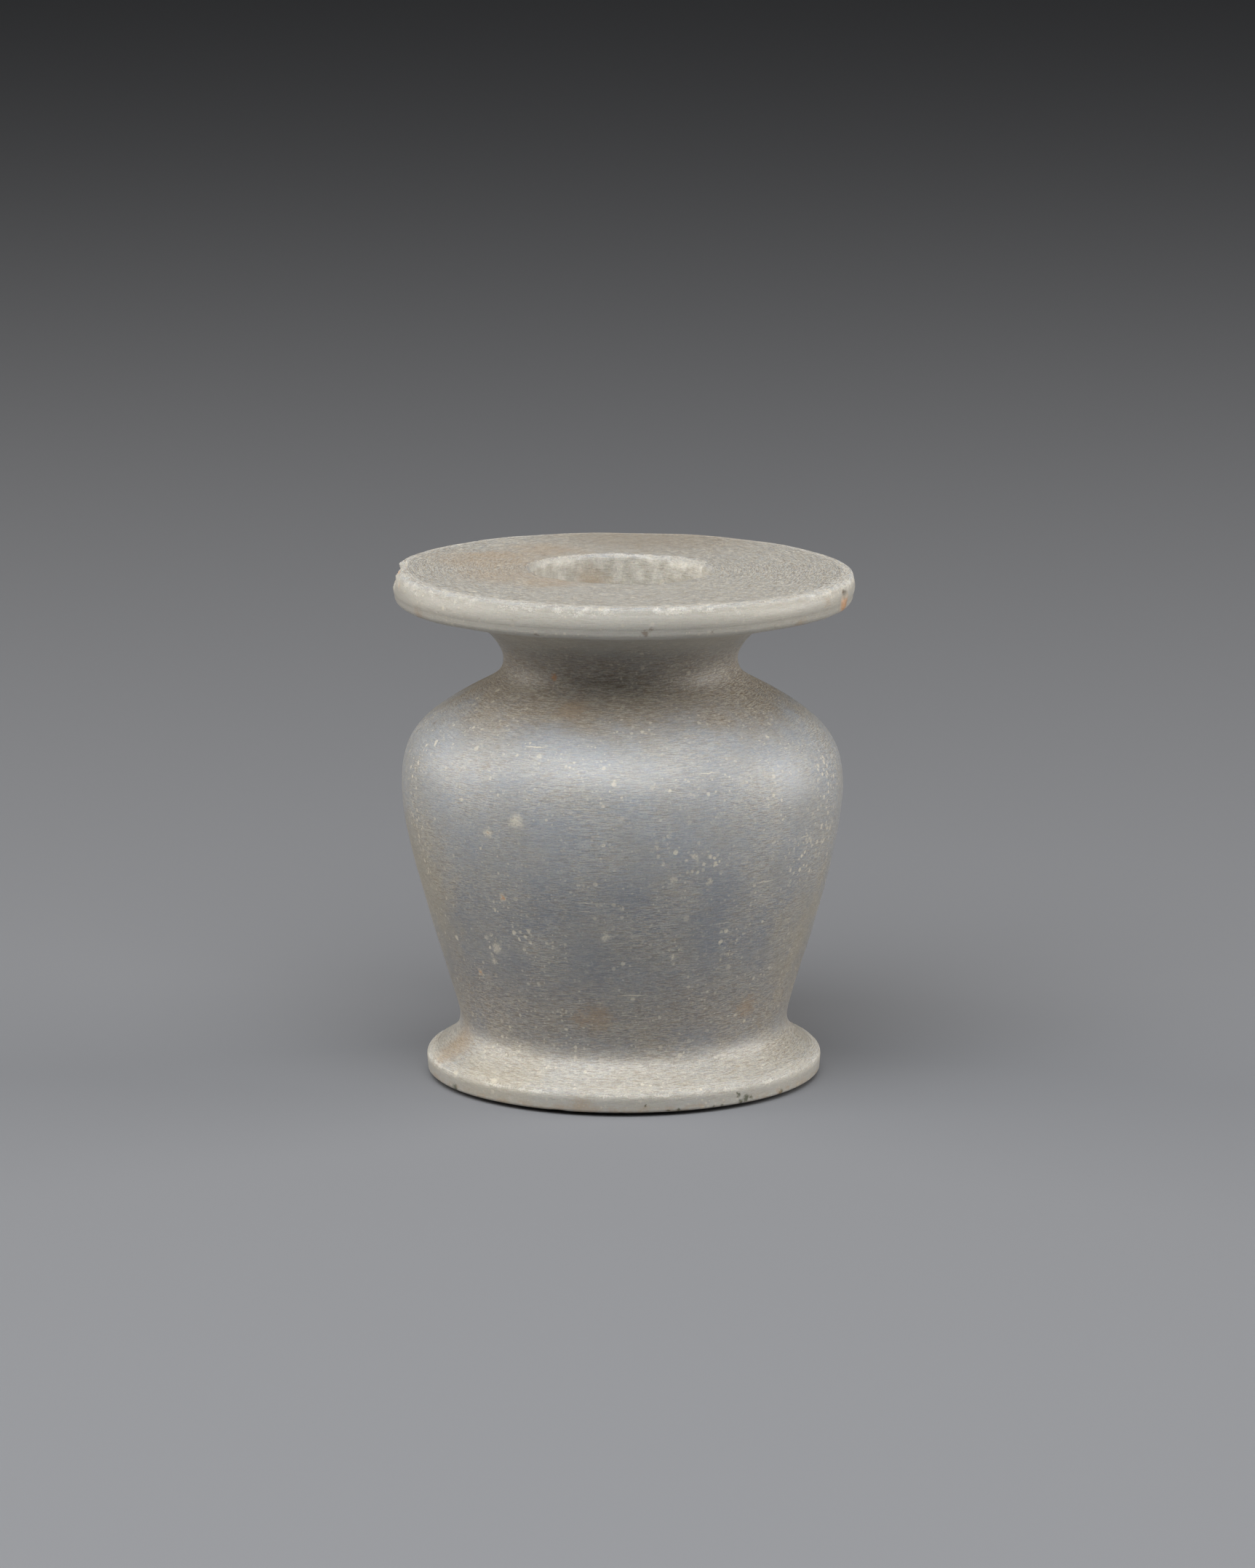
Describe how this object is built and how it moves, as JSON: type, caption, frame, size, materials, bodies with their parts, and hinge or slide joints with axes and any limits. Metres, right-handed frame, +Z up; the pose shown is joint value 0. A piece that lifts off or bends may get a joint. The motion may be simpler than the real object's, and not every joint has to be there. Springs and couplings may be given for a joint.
{
  "type": "stone jar",
  "caption": "Small carved stone cosmetics jar with a broad flat disc rim, narrow neck, round shoulder, tapering body, flared disc foot and a straight bore.",
  "frame": {"origin": "middle of the flat underside, on the jar's axis", "axes": "+Z up along the jar's axis, -Y towards the side that the picture shows, +X to the right of it"},
  "size_m": [0.0448, 0.0448, 0.0502],
  "materials": {
    "stone": "worn satin, translucent pale grey"
  },
  "bodies": {
    "root": {"jar": "stone"}
  },
  "joints": []
}
